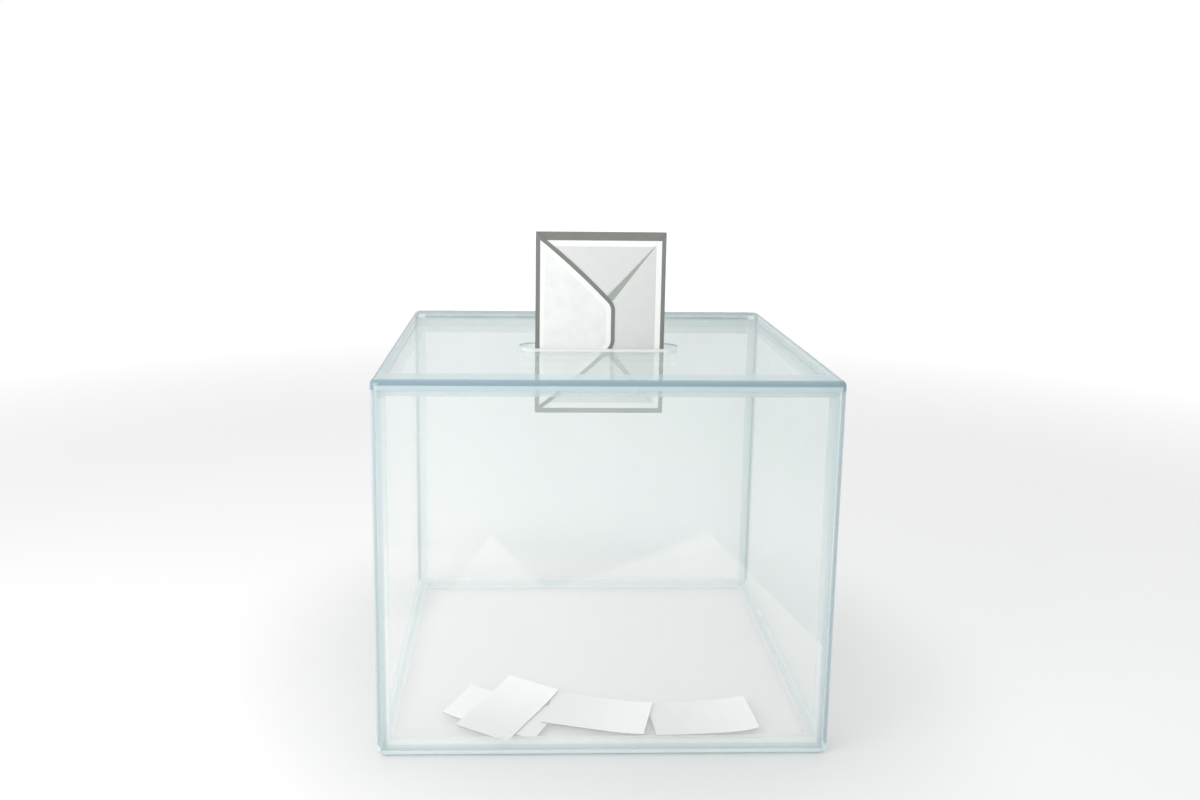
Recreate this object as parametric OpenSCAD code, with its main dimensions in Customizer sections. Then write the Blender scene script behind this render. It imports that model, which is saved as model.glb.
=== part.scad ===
// Clear ballot box with a hinged, slotted lid, an envelope going in and four ballots on the floor.
// Millimetres. Front faces -Y, up is +Z, the floor's underside is at z = 0.

/* [Box] */
// Width of the box across the front
box_w = 370; // [320:5:440]
// Depth of the box, without the hinge
box_d = 330; // [280:5:380]
// Height of the closed box, lid included
box_h = 314; // [280:2:360]
// Thickness of the four walls and the floor
wall_t = 5; // [4:0.5:6]
// Radius of the rounded outer edges of the walls and floor
corner_r = 8; // [7:0.5:10]

/* [Strips] */
// Side of the square rods bonded into the inside corners
strip_t = 7; // [6:0.5:9]
// Width of the locating strips under the lid
lid_strip_w = 10; // [7:0.5:14]
// Depth of the locating strips under the lid
lid_strip_h = 6; // [6:0.5:10]
// Clearance between the locating strips and the walls
lid_gap = 0.5; // [0.4:0.1:1]
// Space between the corner rods and the locating strips above them
rod_gap = 0.8; // [0.5:0.1:1]

/* [Lid] */
// Thickness of the lid
lid_t = 8; // [7:0.5:10]
// Radius of the lid's rounded top edges
lid_edge_r = 5; // [4:0.5:7]
// Free length of the slot's straight sides past the envelope, at each end
slot_end_gap = 0.5; // [0.5:0.5:12]
// Width of the slot, front to back
slot_w = 25; // [16:1:30]
// Distance from the box's middle forward to the slot's middle
slot_forward = 26; // [20:1:40]

/* [Hinge] */
// Outer diameter of the hinge barrel
knuckle_d = 6; // [5.5:0.5:7]
// Diameter of the hinge pin
pin_d = 2.4; // [2:0.2:3]
// Running clearance round the pin, on the radius
pin_gap = 0.05; // [0.03:0.01:0.08]
// Thickness of the two hinge leaves
leaf_t = 2; // [1.5:0.1:2.2]
// Height of the leaf bonded to the back wall, below the barrel's centre
wall_leaf_h = 16; // [12:1:24]
// Distance of the lid leaf's top edge below the lid's top face
leaf_drop = 1; // [0.5:0.1:1.5]
// Distance between the barrel and the back faces
barrel_gap = 0.3; // [0.3:0.1:0.6]
// Gap between neighbouring knuckles
knuckle_gap = 0.4; // [0.3:0.1:0.6]
// Distance from the hinge's ends to the box's sides
hinge_inset = 12; // [10:1:30]
// Length of one knuckle and its gap, before it is fitted to the hinge
knuckle_pitch = 32; // [20:1:50]
// Diameter of the heads on the pin's ends
pin_head_d = 4.4; // [3.6:0.2:5]
// Thickness of the heads on the pin's ends
pin_head_t = 1; // [0.6:0.2:2]

/* [Envelope] */
// Width of the envelope
envelope_w = 114; // [90:1:120]
// Height of the envelope
envelope_h = 162; // [120:1:170]
// Thickness of the envelope with its ballot inside
envelope_t = 2.4; // [1:0.2:4]
// Radius of the envelope's corners
envelope_r = 1.5; // [0.5:0.5:3]
// Clearance between the envelope and the slot's front edge
envelope_gap = 0.4; // [0.3:0.1:0.8]
// Height of the envelope's top edge above the lid
envelope_up = 103; // [70:1:110]

/* [Ballots] */
// Length of a folded ballot
slip_l = 88; // [70:1:105]
// Width of a folded ballot
slip_w = 52; // [45:1:70]
// Thickness of a folded ballot
slip_t = 0.8; // [0.6:0.1:1.5]
// Least distance from a ballot to the rods round the floor
slip_gap = 1.5; // [1:0.5:3]
// Turn of the first ballot, lowest on the left
slip_1_turn = -26; // [-35:1:-15]
// Place of the first ballot, as a share of its free way to the left
slip_1_side = 0.7; // [0.5:0.05:0.9]
// Distance that the first ballot lies further back than it could
slip_1_back = 4; // [0:1:10]
// Turn of the second ballot, lowest on the right
slip_2_turn = 4; // [-8:1:12]
// Place of the second ballot, as a share of its free way to the right
slip_2_side = 0.7; // [0.65:0.01:0.9]
// Distance that the second ballot lies further back than it could
slip_2_back = 8; // [0:1:10]
// Turn of the third ballot, lying across the first two
slip_3_turn = -15; // [-22:1:-6]
// Distance of the third ballot's centre to the right of the box's middle
slip_3_right = -1; // [-10:1:10]
// Distance that the third ballot lies further back than it could
slip_3_back = 6; // [0:1:10]
// Turn of the fourth ballot, lying on top
slip_4_turn = 60; // [45:1:70]
// Distance that the fourth ballot reaches across the left end of the third
slip_4_lap = 16; // [12:1:30]

/* [Hidden] */
$fn = 96;
clear_tint = [0.78, 0.89, 0.90, 0.35];
edge_tint = [0.62, 0.78, 0.82, 0.5];
paper_tint = [0.95, 0.95, 0.94];

// Top edge of the walls, where the lid rests
rim_z = box_h - lid_t;
// Inside half width and half depth of the walls
inner_x = box_w / 2 - wall_t;
inner_y = box_d / 2 - wall_t;
// Half width and half depth left free between the floor rods
free_x = inner_x - strip_t;
free_y = inner_y - strip_t;
// Height of the corner rods' top ends
rod_top = rim_z - lid_strip_h - rod_gap;

// The barrel's centre, and how far the hinge stands behind the box
barrel_y = box_d / 2 + barrel_gap + knuckle_d / 2;
hinge_reach = barrel_gap + knuckle_d;
hinge_l = box_w - 2 * hinge_inset;
// An odd number of knuckles, so that the wall leaf holds both ends of the pin
knuckles = 2 * floor(hinge_l / knuckle_pitch / 2) + 1;
knuckle_step = hinge_l / knuckles;
// Clearance between a leaf's plate and the other leaf's knuckles
plate_clear = 0.5;

// The box is set forward, so that the whole part with its hinge is centred on the origin
box_y = -hinge_reach / 2;
slot_y = -slot_forward;
slot_l = envelope_w + 2 * slot_end_gap + slot_w;
envelope_y = slot_y - slot_w / 2 + envelope_gap + envelope_t / 2;
// How far cuts and overlapping shapes run past the faces they meet
overshoot = 1;

// How far a turned ballot reaches from its centre
function reach_x(turn) = slip_l / 2 * abs(cos(turn)) + slip_w / 2 * abs(sin(turn));
function reach_y(turn) = slip_l / 2 * abs(sin(turn)) + slip_w / 2 * abs(cos(turn));
// Free way of a turned ballot from the middle to one side
function way_x(turn) = free_x - slip_gap - reach_x(turn);

module placed() {
    translate([0, box_y, 0]) children();
}

module rounded_rectangle(w, d, r) {
    square([w - 2 * r, d], center = true);
    square([w, d - 2 * r], center = true);
    for (x = [-1, 1], y = [-1, 1]) {
        translate([x * (w / 2 - r), y * (d / 2 - r)]) circle(r);
    }
}

// Upright outline, standing on y = 0, with its two lower corners rounded
module low_rounded(w, h, r) {
    translate([-w / 2, r]) square([w, h - r]);
    translate([-w / 2 + r, 0]) square([w - 2 * r, r + overshoot]);
    for (x = [-1, 1]) {
        translate([x * (w / 2 - r), r]) circle(r);
    }
}

// Outline in x and z, drawn out along y
module along_y(d) {
    translate([0, d / 2, 0]) rotate([90, 0, 0]) linear_extrude(height = d) children();
}

// Outline in y and z, drawn out along x
module along_x(w) {
    translate([-w / 2, 0, 0]) rotate([90, 0, 90]) linear_extrude(height = w) children();
}

// Solid block with the outer shape of a box w wide and d deep, up to the rim
module outer_block(w, d) {
    intersection() {
        linear_extrude(height = rim_z) rounded_rectangle(w, d, corner_r);
        along_y(d) low_rounded(w, rim_z, corner_r);
        along_x(w) low_rounded(d, rim_z, corner_r);
    }
}

// Front wall of a box w wide and d deep, mitred to its neighbours and to the floor
module wall(w, d) {
    intersection() {
        outer_block(w, d);
        linear_extrude(height = rim_z) polygon([
            [-w / 2, -d / 2],
            [w / 2, -d / 2],
            [w / 2 - wall_t, -d / 2 + wall_t],
            [-w / 2 + wall_t, -d / 2 + wall_t]
        ]);
        along_x(w) polygon([
            [-d / 2, 0],
            [-d / 2 + wall_t, wall_t],
            [-d / 2 + wall_t, rim_z],
            [-d / 2, rim_z]
        ]);
    }
}

// Bar along the front of a frame w wide and d deep outside, mitred at both ends
module frame_bar(w, d, bar_w, bar_h) {
    linear_extrude(height = bar_h) polygon([
        [-w / 2, -d / 2],
        [w / 2, -d / 2],
        [w / 2 - bar_w, -d / 2 + bar_w],
        [-w / 2 + bar_w, -d / 2 + bar_w]
    ]);
}

module on_floor() {
    color(clear_tint) placed() translate([0, 0, wall_t]) children();
}

module corner_rod(x_side, y_side) {
    color(clear_tint) placed()
        translate([x_side * (inner_x - strip_t / 2), y_side * (inner_y - strip_t / 2), wall_t + strip_t])
            translate([-strip_t / 2, -strip_t / 2, 0])
                cube([strip_t, strip_t, rod_top - wall_t - strip_t]);
}

module floor_panel() {
    color(clear_tint) placed() intersection() {
        outer_block(box_w, box_d);
        along_y(box_d) polygon([
            [-box_w / 2, 0],
            [box_w / 2, 0],
            [inner_x, wall_t],
            [-inner_x, wall_t]
        ]);
        along_x(box_w) polygon([
            [-box_d / 2, 0],
            [box_d / 2, 0],
            [inner_y, wall_t],
            [-inner_y, wall_t]
        ]);
    }
}

module front_panel() {
    color(clear_tint) placed() wall(box_w, box_d);
}

module back_panel() {
    color(clear_tint) placed() rotate([0, 0, 180]) wall(box_w, box_d);
}

module left_panel() {
    color(clear_tint) placed() rotate([0, 0, -90]) wall(box_d, box_w);
}

module right_panel() {
    color(clear_tint) placed() rotate([0, 0, 90]) wall(box_d, box_w);
}

module corner_strip_front_left() {
    corner_rod(-1, -1);
}

module corner_strip_front_right() {
    corner_rod(1, -1);
}

module corner_strip_back_left() {
    corner_rod(-1, 1);
}

module corner_strip_back_right() {
    corner_rod(1, 1);
}

module floor_strip_front() {
    on_floor() frame_bar(2 * inner_x, 2 * inner_y, strip_t, strip_t);
}

module floor_strip_back() {
    on_floor() rotate([0, 0, 180]) frame_bar(2 * inner_x, 2 * inner_y, strip_t, strip_t);
}

module floor_strip_left() {
    on_floor() rotate([0, 0, -90]) frame_bar(2 * inner_y, 2 * inner_x, strip_t, strip_t);
}

module floor_strip_right() {
    on_floor() rotate([0, 0, 90]) frame_bar(2 * inner_y, 2 * inner_x, strip_t, strip_t);
}

// Outline of the lid seen from the front or the side, with its two upper corners rounded
module lid_outline(w) {
    translate([0, lid_t]) mirror([0, 1]) low_rounded(w, lid_t, lid_edge_r);
}

module slot_outline() {
    square([slot_l - slot_w, slot_w], center = true);
    for (x = [-1, 1]) {
        translate([x * (slot_l - slot_w) / 2, 0]) circle(slot_w / 2);
    }
}

module lid_panel() {
    color(clear_tint) placed() translate([0, 0, rim_z]) difference() {
        intersection() {
            linear_extrude(height = lid_t) rounded_rectangle(box_w, box_d, corner_r);
            along_y(box_d) lid_outline(box_w);
            along_x(box_w) lid_outline(box_d);
        }
        translate([0, slot_y, -overshoot]) linear_extrude(height = lid_t + 2 * overshoot) slot_outline();
    }
}

// Locating bar along the front of a frame that fits, with its clearance, inside w by d
module lid_bar(w, d) {
    translate([0, 0, rim_z - lid_strip_h])
        frame_bar(w - 2 * lid_gap, d - 2 * lid_gap, lid_strip_w, lid_strip_h);
}

module lid_strip_front() {
    color(clear_tint) placed() lid_bar(2 * inner_x, 2 * inner_y);
}

module lid_strip_back() {
    color(clear_tint) placed() rotate([0, 0, 180]) lid_bar(2 * inner_x, 2 * inner_y);
}

module lid_strip_left() {
    color(clear_tint) placed() rotate([0, 0, -90]) lid_bar(2 * inner_y, 2 * inner_x);
}

module lid_strip_right() {
    color(clear_tint) placed() rotate([0, 0, 90]) lid_bar(2 * inner_y, 2 * inner_x);
}

// Left end of knuckle number i, counted from 0 at the left
function knuckle_x(i) = -hinge_l / 2 + i * knuckle_step + knuckle_gap / 2;
knuckle_l = knuckle_step - knuckle_gap;

// One leaf: side 1 stands above the barrel's centre, side -1 hangs below it, and first is its first knuckle
module leaf(side, reach, first) {
    plate_from = knuckle_d / 2 + plate_clear;
    translate([0, 0, rim_z]) difference() {
        union() {
            translate([-hinge_l / 2, box_d / 2, side > 0 ? plate_from : -reach])
                cube([hinge_l, leaf_t, reach - plate_from]);
            for (i = [first : 2 : knuckles - 1]) {
                translate([knuckle_x(i), box_d / 2, side > 0 ? 0 : -reach])
                    cube([knuckle_l, leaf_t, reach]);
                translate([knuckle_x(i), barrel_y, 0]) rotate([0, 90, 0])
                    cylinder(d = knuckle_d, h = knuckle_l);
            }
        }
        translate([-hinge_l / 2 - overshoot, barrel_y, 0]) rotate([0, 90, 0])
            cylinder(r = pin_d / 2 + pin_gap, h = hinge_l + 2 * overshoot);
    }
}

module hinge_wall_leaf() {
    color(clear_tint) placed() leaf(-1, wall_leaf_h, 0);
}

module hinge_lid_leaf() {
    color(clear_tint) placed() leaf(1, lid_t - leaf_drop, 1);
}

module hinge_pin() {
    pin_l = hinge_l - knuckle_gap;
    color(edge_tint) placed() translate([0, barrel_y, rim_z]) rotate([0, 90, 0]) {
        cylinder(d = pin_d, h = pin_l + 2 * pin_head_t, center = true);
        for (side = [-1, 1]) {
            translate([0, 0, side * (pin_l + pin_head_t) / 2])
                cylinder(d = pin_head_d, h = pin_head_t, center = true);
        }
    }
}

module envelope() {
    color(paper_tint) placed()
        translate([0, envelope_y, box_h + envelope_up - envelope_h / 2])
            along_y(envelope_t) rounded_rectangle(envelope_w, envelope_h, envelope_r);
}

// One folded ballot, back from the front rod: layer 0 lies on the floor, and each layer lies on the one below
module slip(x, back, turn, layer) {
    y = -free_y + slip_gap + back + reach_y(turn);
    color(paper_tint) placed()
        translate([x, y, wall_t + layer * slip_t])
            rotate([0, 0, turn])
                translate([-slip_l / 2, -slip_w / 2, 0])
                    cube([slip_l, slip_w, slip_t]);
}

module ballot_1() {
    slip(-slip_1_side * way_x(slip_1_turn), slip_1_back, slip_1_turn, 0);
}

module ballot_2() {
    slip(slip_2_side * way_x(slip_2_turn), slip_2_back, slip_2_turn, 0);
}

module ballot_3() {
    slip(slip_3_right, slip_3_back, slip_3_turn, 1);
}

module ballot_4() {
    x = slip_3_right - reach_x(slip_3_turn) - reach_x(slip_4_turn) + slip_4_lap;
    slip(x, 0, slip_4_turn, 2);
}

floor_panel();
front_panel();
back_panel();
left_panel();
right_panel();
corner_strip_front_left();
corner_strip_front_right();
corner_strip_back_left();
corner_strip_back_right();
floor_strip_front();
floor_strip_back();
floor_strip_left();
floor_strip_right();
lid_panel();
lid_strip_front();
lid_strip_back();
lid_strip_left();
lid_strip_right();
hinge_wall_leaf();
hinge_lid_leaf();
hinge_pin();
envelope();
ballot_1();
ballot_2();
ballot_3();
ballot_4();
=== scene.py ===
"""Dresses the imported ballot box: clear sheets, rods, a slotted lid, a hinge, an envelope and ballots."""

import math

import bmesh
import bpy
from bpy.props import FloatProperty, FloatVectorProperty, PointerProperty
from mathutils import Matrix, Vector


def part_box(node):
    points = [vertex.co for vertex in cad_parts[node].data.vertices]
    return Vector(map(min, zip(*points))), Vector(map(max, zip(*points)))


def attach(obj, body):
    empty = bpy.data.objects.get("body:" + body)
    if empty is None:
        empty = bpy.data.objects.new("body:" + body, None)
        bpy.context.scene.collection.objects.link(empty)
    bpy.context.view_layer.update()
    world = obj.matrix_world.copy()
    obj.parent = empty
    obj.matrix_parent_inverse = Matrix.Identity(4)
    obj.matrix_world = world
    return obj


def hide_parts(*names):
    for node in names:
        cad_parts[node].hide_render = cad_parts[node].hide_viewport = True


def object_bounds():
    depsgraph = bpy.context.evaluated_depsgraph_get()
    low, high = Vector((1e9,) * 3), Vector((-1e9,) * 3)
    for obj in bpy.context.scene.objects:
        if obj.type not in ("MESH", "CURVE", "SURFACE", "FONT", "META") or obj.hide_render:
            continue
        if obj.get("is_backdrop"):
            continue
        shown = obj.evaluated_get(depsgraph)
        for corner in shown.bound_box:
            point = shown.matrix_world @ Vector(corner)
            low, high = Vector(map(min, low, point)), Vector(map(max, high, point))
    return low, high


bl_info = {
    "name": "Clear ballot box",
    "version": (1, 0, 0),
    "blender": (4, 5, 0),
    "location": "3D View > Sidebar > Ballot Box",
    "description": "Builds the looks of a clear ballot box around its packed CAD model",
    "category": "Object",
}

MM = 0.001
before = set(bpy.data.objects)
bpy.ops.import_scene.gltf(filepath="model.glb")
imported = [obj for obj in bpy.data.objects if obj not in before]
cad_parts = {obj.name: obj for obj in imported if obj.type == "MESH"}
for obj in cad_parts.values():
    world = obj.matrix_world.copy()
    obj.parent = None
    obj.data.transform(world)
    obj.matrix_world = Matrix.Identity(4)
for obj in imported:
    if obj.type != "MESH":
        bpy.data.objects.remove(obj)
CAD_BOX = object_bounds()

# Width in pixels of the picture that the camera's values are given for
PHOTO_WIDTH = 1200

LEFT = Vector((-1, 0, 0))
RIGHT = Vector((1, 0, 0))
FRONT = Vector((0, -1, 0))
BACK = Vector((0, 1, 0))
DOWN = Vector((0, 0, -1))
UP = Vector((0, 0, 1))


def low_high(*nodes):
    """Lowest and highest corner of several CAD nodes together."""
    boxes = [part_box(node) for node in nodes]
    low = Vector(min(box[0][i] for box in boxes) for i in range(3))
    high = Vector(max(box[1][i] for box in boxes) for i in range(3))
    return low, high


def closed_box():
    """Lowest and highest corner of the box with its lid closed, without the hinge and the envelope."""
    return low_high("floor_panel", "lid_panel")


def length_property(name, description, default):
    return FloatProperty(name=name, description=description, default=default, unit="LENGTH")


def four_lengths_property(name, description, default):
    return FloatVectorProperty(name=name, description=description, default=default, size=4, unit="LENGTH")


def angle_property(name, description, degrees):
    return FloatProperty(
        name=name, description=description, default=math.radians(degrees), subtype="ANGLE"
    )


def colour_property(name, description, default):
    return FloatVectorProperty(
        name=name, description=description, default=default, size=3, min=0, max=1, subtype="COLOR"
    )


def opacity_property(name, whose, default):
    description = "How much of what lies behind is hidden by " + whose
    return FloatProperty(
        name=name, description=description, default=default, min=0, max=1, subtype="FACTOR"
    )


class BallotBoxSizes(bpy.types.PropertyGroup):
    corner_radius: length_property(
        "Corner radius", "Radius of the rounded outer edges of the walls and the floor", 8 * MM
    )
    lid_edge_radius: length_property("Lid edge radius", "Radius of the lid's rounded top edges", 5 * MM)
    bond_gap: length_property("Bond line", "Width of the glue line between two bonded pieces", 0.04 * MM)
    rod_edge: length_property("Rod edge", "Width of the polished edges of the square rods", 0.5 * MM)
    slot_ease: length_property("Slot edge", "Radius of the eased edges round the slot", 1.2 * MM)
    edge_band: length_property(
        "Edge band", "Width of the deeper tint along the sheets' rounded edges", 4.7 * MM
    )
    rim: length_property("Wall rim", "Reach of the band inside the walls' edges", 9.6 * MM)
    lid_rim: length_property("Lid rim", "Reach of the band inside the lid's edges", 12.6 * MM)
    paper: length_property("Paper", "Thickness of the envelope's paper", 0.22 * MM)
    ballot_paper: length_property("Ballot paper", "Thickness of the ballots' stiff paper", 0.3 * MM)
    edging: four_lengths_property(
        "Edging",
        "Widths of the envelope's printed edging at its left, right, top and foot",
        (3.9 * MM, 3.7 * MM, 7.6 * MM, 4.4 * MM),
    )
    margin: four_lengths_property(
        "Margin",
        "Widths of the white margin inside the edging at the left, right, top and foot",
        (2.6 * MM, 4.8 * MM, 5.1 * MM, 4.8 * MM),
    )
    # The closing flap's dark line is a painted shadow along its edge, and its white ring is a painted
    # highlight
    flap_shadow: length_property(
        "Flap edging", "Width of the printed edging along the closing flap", 3.4 * MM
    )
    flap_highlight: length_property(
        "Flap margin", "Width of the white margin along the closing flap", 4.4 * MM
    )


class BallotBoxColours(bpy.types.PropertyGroup):
    sheet: colour_property("Clear sheet", "Milky tint of the clear sheets", (0.67, 0.765, 0.755))
    edge: colour_property("Lid edge", "Deeper tint of the lid's rounded edges", (0.24, 0.345, 0.395))
    wall_edge: colour_property(
        "Wall edge", "Tint of the walls' rounded upright and lower edges", (0.48, 0.57, 0.60)
    )
    slot: colour_property(
        "Slot edge", "Tint of the slot's eased edge behind the envelope", (0.20, 0.44, 0.50)
    )
    floor: colour_property("Clear floor", "Milky tint of the clear floor", (0.68, 0.74, 0.735))
    rim: colour_property(
        "Lid rim", "Tint of the band inside the lid's rounded edges", (0.54, 0.66, 0.685)
    )
    # Painted light: the edges round the foot get this paler tint, lifting the shade that falls on them near
    # the floor
    foot: colour_property("Foot", "Tint of the rounded edges round the box's foot", (0.83, 0.94, 0.955))
    rod: colour_property("Rods", "Tint of the square rods in the corners", (0.64, 0.735, 0.755))
    paper: colour_property("Paper", "Colour of the envelope's panels", (0.72, 0.72, 0.715))
    white: colour_property(
        "White paper", "Colour of the envelope's white margin and closing flap", (0.84, 0.84, 0.84)
    )
    ballot: colour_property("Ballots", "Colour of the ballots' paper", (0.95, 0.95, 0.945))
    # Painted shade: the ballots' upright cut edges and folds are given this dark colour
    edge_shade: colour_property(
        "Cut edges", "Colour of the ballots' soiled folds and cut edges", (0.09, 0.09, 0.085)
    )
    # Painted shadow: the dark strip in the gap under the right flap's slanted edges
    gap_shadow: colour_property(
        "Gum", "Colour of the dry gum along the envelope's right flap", (0.345, 0.39, 0.35)
    )
    # This colour serves the printed edging round the envelope and the painted shadow along the closing
    # flap's edge
    edging_and_flap_shadow: colour_property(
        "Envelope edging", "Colour of the printed edging round the envelope", (0.195, 0.203, 0.184)
    )
    sheet_opacity: opacity_property("Wall opacity", "one face of a wall", 0.17)
    floor_opacity: opacity_property("Floor opacity", "one face of the box's floor", 0.22)
    lid_opacity: opacity_property("Lid opacity", "one face of the lid", 0.28)
    edge_opacity: opacity_property("Wall edge opacity", "the walls' rounded edges", 0.7)
    lid_edge_opacity: opacity_property("Lid edge opacity", "the lid's rounded edges", 0.9)
    rim_opacity: opacity_property("Wall rim opacity", "the band inside the walls' edges", 0.04)
    lid_rim_opacity: opacity_property("Lid rim opacity", "the band inside the lid's edges", 0.26)
    rod_opacity: opacity_property("Rod opacity", "the rods in the corners and round the floor", 0.32)
    lid_rod_opacity: opacity_property("Lid rod opacity", "the rods under the lid", 0.2)
    front_rod_opacity: opacity_property("Front rod opacity", "the rod under the lid's front", 0.36)
    hinge_opacity: opacity_property("Hinge opacity", "the hinge's leaves", 0.34)
    pin_opacity: opacity_property("Pin opacity", "the hinge's pin", 0.8)


class BallotBoxStage(bpy.types.PropertyGroup):
    camera_place: FloatVectorProperty(
        name="Camera",
        description="Place of the camera",
        subtype="TRANSLATION",
        size=3,
        default=(-62.5 * MM, -953.5 * MM, 498.8 * MM),
    )
    camera_down: angle_property("Look down", "Angle of the camera below the horizon", 9.375)
    camera_turn: angle_property("Turn", "Angle of the camera towards the right", 1.701)
    camera_tilt: angle_property("Tilt", "Turn of the camera about its own axis", -0.612)
    focal_pixels: FloatProperty(
        name="Focal length",
        description="Focal length, in pixels of a picture 1200 pixels wide",
        default=1052.9,
    )
    shift_pixels: FloatVectorProperty(
        name="Shift",
        description="Place of the picture's optical centre, right of and below its middle, in pixels",
        size=2,
        default=(-40, -90),
    )


def sizes():
    return bpy.context.scene.ballot_box_sizes


def colours():
    return bpy.context.scene.ballot_box_colours


class Wire:
    """A number coming out of a shader node. Arithmetic on it adds Math nodes."""

    def __init__(self, board, socket):
        self.board = board
        self.socket = socket

    def math(self, operation, *others, clamp=False):
        values = {i: value for i, value in enumerate((self, *others))}
        return self.board.node("ShaderNodeMath", {"operation": operation, "use_clamp": clamp}, values)[0]

    def __add__(self, other):
        return self.math("ADD", other)

    def __radd__(self, other):
        return self.math("ADD", other)

    def __sub__(self, other):
        return self.math("SUBTRACT", other)

    def __rsub__(self, other):
        return self.board.node("ShaderNodeMath", {"operation": "SUBTRACT"}, {0: other, 1: self})[0]

    def __mul__(self, other):
        return self.math("MULTIPLY", other)

    def __rmul__(self, other):
        return self.math("MULTIPLY", other)

    def __truediv__(self, other):
        return self.math("DIVIDE", other)

    def low(self, other):
        return self.math("MINIMUM", other)

    def high(self, other):
        return self.math("MAXIMUM", other)

    def size(self):
        return self.math("ABSOLUTE")

    def clamped(self):
        return self.math("ADD", 0, clamp=True)

    def ramp(self, start, end):
        """0 before start, 1 after end, and smooth between them. start may be above end."""
        settings = {"interpolation_type": "SMOOTHSTEP", "clamp": True}
        values = {0: self, 1: start, 2: end, 3: 0, 4: 1}
        if start > end:
            values = {0: self, 1: end, 2: start, 3: 1, 4: 0}
        return self.board.node("ShaderNodeMapRange", settings, values)[0]


class Board:
    """The nodes of one material."""

    def __init__(self, name):
        self.material = bpy.data.materials.new(name)
        self.material.use_nodes = True
        self.tree = self.material.node_tree
        self.tree.nodes.clear()
        self.coordinates = self.node("ShaderNodeTexCoord", {}, {})

    def node(self, kind, settings, values):
        """Adds a node, makes its settings, feeds its sockets, and returns its outputs as wires."""
        made = self.tree.nodes.new(kind)
        for key, value in settings.items():
            setattr(made, key, value)
        for key, value in values.items():
            if isinstance(value, Wire):
                self.tree.links.new(value.socket, made.inputs[key])
            else:
                made.inputs[key].default_value = value
        return Outputs(self, made)

    def place(self):
        """The three numbers of a point's place on the object."""
        return self.node("ShaderNodeSeparateXYZ", {}, {0: self.coordinates["Object"]})

    def noise(self, scale, detail, stretch=(1, 1, 1), turn=(0, 0, 0)):
        mapping = {"Vector": self.coordinates["Object"], "Scale": stretch, "Rotation": turn}
        placed = self.node("ShaderNodeMapping", {}, mapping)[0]
        values = {"Vector": placed, "Scale": scale, "Detail": detail}
        return self.node("ShaderNodeTexNoise", {}, values)["Fac"]

    def blend(self, share, first, second):
        """Colour between first, where share is 0, and second, where it is 1."""
        settings = {"data_type": "RGBA"}
        values = {"Factor": share, 6: first, 7: second}
        return self.node("ShaderNodeMix", settings, values)[2]

    def bump(self, height, distance):
        return self.node("ShaderNodeBump", {}, {"Height": height, "Distance": distance})[0]

    def finish(self, **values):
        """Ends the material with one Principled shader, its sockets named with _ for a space."""
        named = {key.replace("_", " "): value for key, value in values.items()}
        surface = self.node("ShaderNodeBsdfPrincipled", {}, named)
        self.node("ShaderNodeOutputMaterial", {}, {"Surface": surface[0]})
        return self.material


class Outputs:
    """A node's outputs, by name or by number."""

    def __init__(self, board, made):
        self.board = board
        self.made = made

    def __getitem__(self, key):
        return Wire(self.board, self.made.outputs[key])


def rgba(colour):
    return (*colour, 1.0)


def grey(level):
    return (level, level, level, 1.0)


def shaded(colour, share):
    """A colour made darker or lighter by a share."""
    return rgba([c * share for c in colour])


def nearest_edge(part, side_share=1.0, front_share=1.0):
    """How far a point is from the closed box's nearest edge, with shares for its sides and its front."""
    low, high = closed_box()
    middle = (low + high) / 2
    half = (high - low) / 2
    from_side = (half.x - (part["X"] - middle.x).size()) * side_share
    from_front = ((part["Y"] - low.y) * front_share).low(high.y - part["Y"])
    from_top = half.z - (part["Z"] - middle.z).size()
    nearer = from_side.low(from_front)
    further = from_side.high(from_front)
    return nearer.high(further.low(from_top))


# The edges of the painted reflections, paler areas with straight edges low on the front wall. Each has
# its height at the wall's left end and its slope there, and the hill's left side has a bend too
PEAK_LEFT = (64 * MM, 1.378)
PEAK_RIGHT = (284.4 * MM, -1.041)
HILL_LEFT = (119.3 * MM, 0.0977, 0.689)
HILL_RIGHT = (457.2 * MM, -1.0087)
BAND_TOP = (181 * MM, -0.0595)
REFLECTION_FADE = 0.8 * MM

# The painted reflections reach this far behind the wall's inner face
REFLECTION_DEPTH = 1 * MM

# How strongly the painted reflections of the peak and the hill show, and how strongly the painted
# reflection band below them does
CROSSED_REFLECTIONS = 0.6
REFLECTED_BAND = 0.15


def reflection_edge(x, height, slope, bend=0.0):
    """Height of a painted reflection's edge at a distance from the wall's left end."""
    straight = x * slope + height
    return straight + x * x * bend if bend else straight


def painted_reflections(part):
    """Painted reflections: paler areas with straight edges, low on the front wall."""
    low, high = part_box("front_panel")
    x = part["X"] - low.x
    z = part["Z"]
    in_front = part["Y"].ramp(high.y + 2 * REFLECTION_DEPTH, high.y + REFLECTION_DEPTH)
    peak = reflection_edge(x, *PEAK_LEFT).low(reflection_edge(x, *PEAK_RIGHT))
    hill = reflection_edge(x, *HILL_LEFT).low(reflection_edge(x, *HILL_RIGHT))
    band = reflection_edge(x, *BAND_TOP)
    crossed = (peak - z).ramp(0, REFLECTION_FADE) + (hill - z).ramp(0, REFLECTION_FADE)
    leftwards = x.ramp(high.x - low.x, 0)
    # The painted reflection band below them is stronger towards the left
    wiped = (band - z).ramp(0, REFLECTION_FADE) * (leftwards * REFLECTED_BAND + REFLECTED_BAND)
    return (crossed * CROSSED_REFLECTIONS + wiped).clamped() * in_front


# Share of the light stopped by the milky haze that still gets through it, scattered forwards
FORWARD_SCATTER = 0.5
ACRYLIC_IOR = 1.49
SHEET_BUMP = 0.01 * MM

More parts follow.
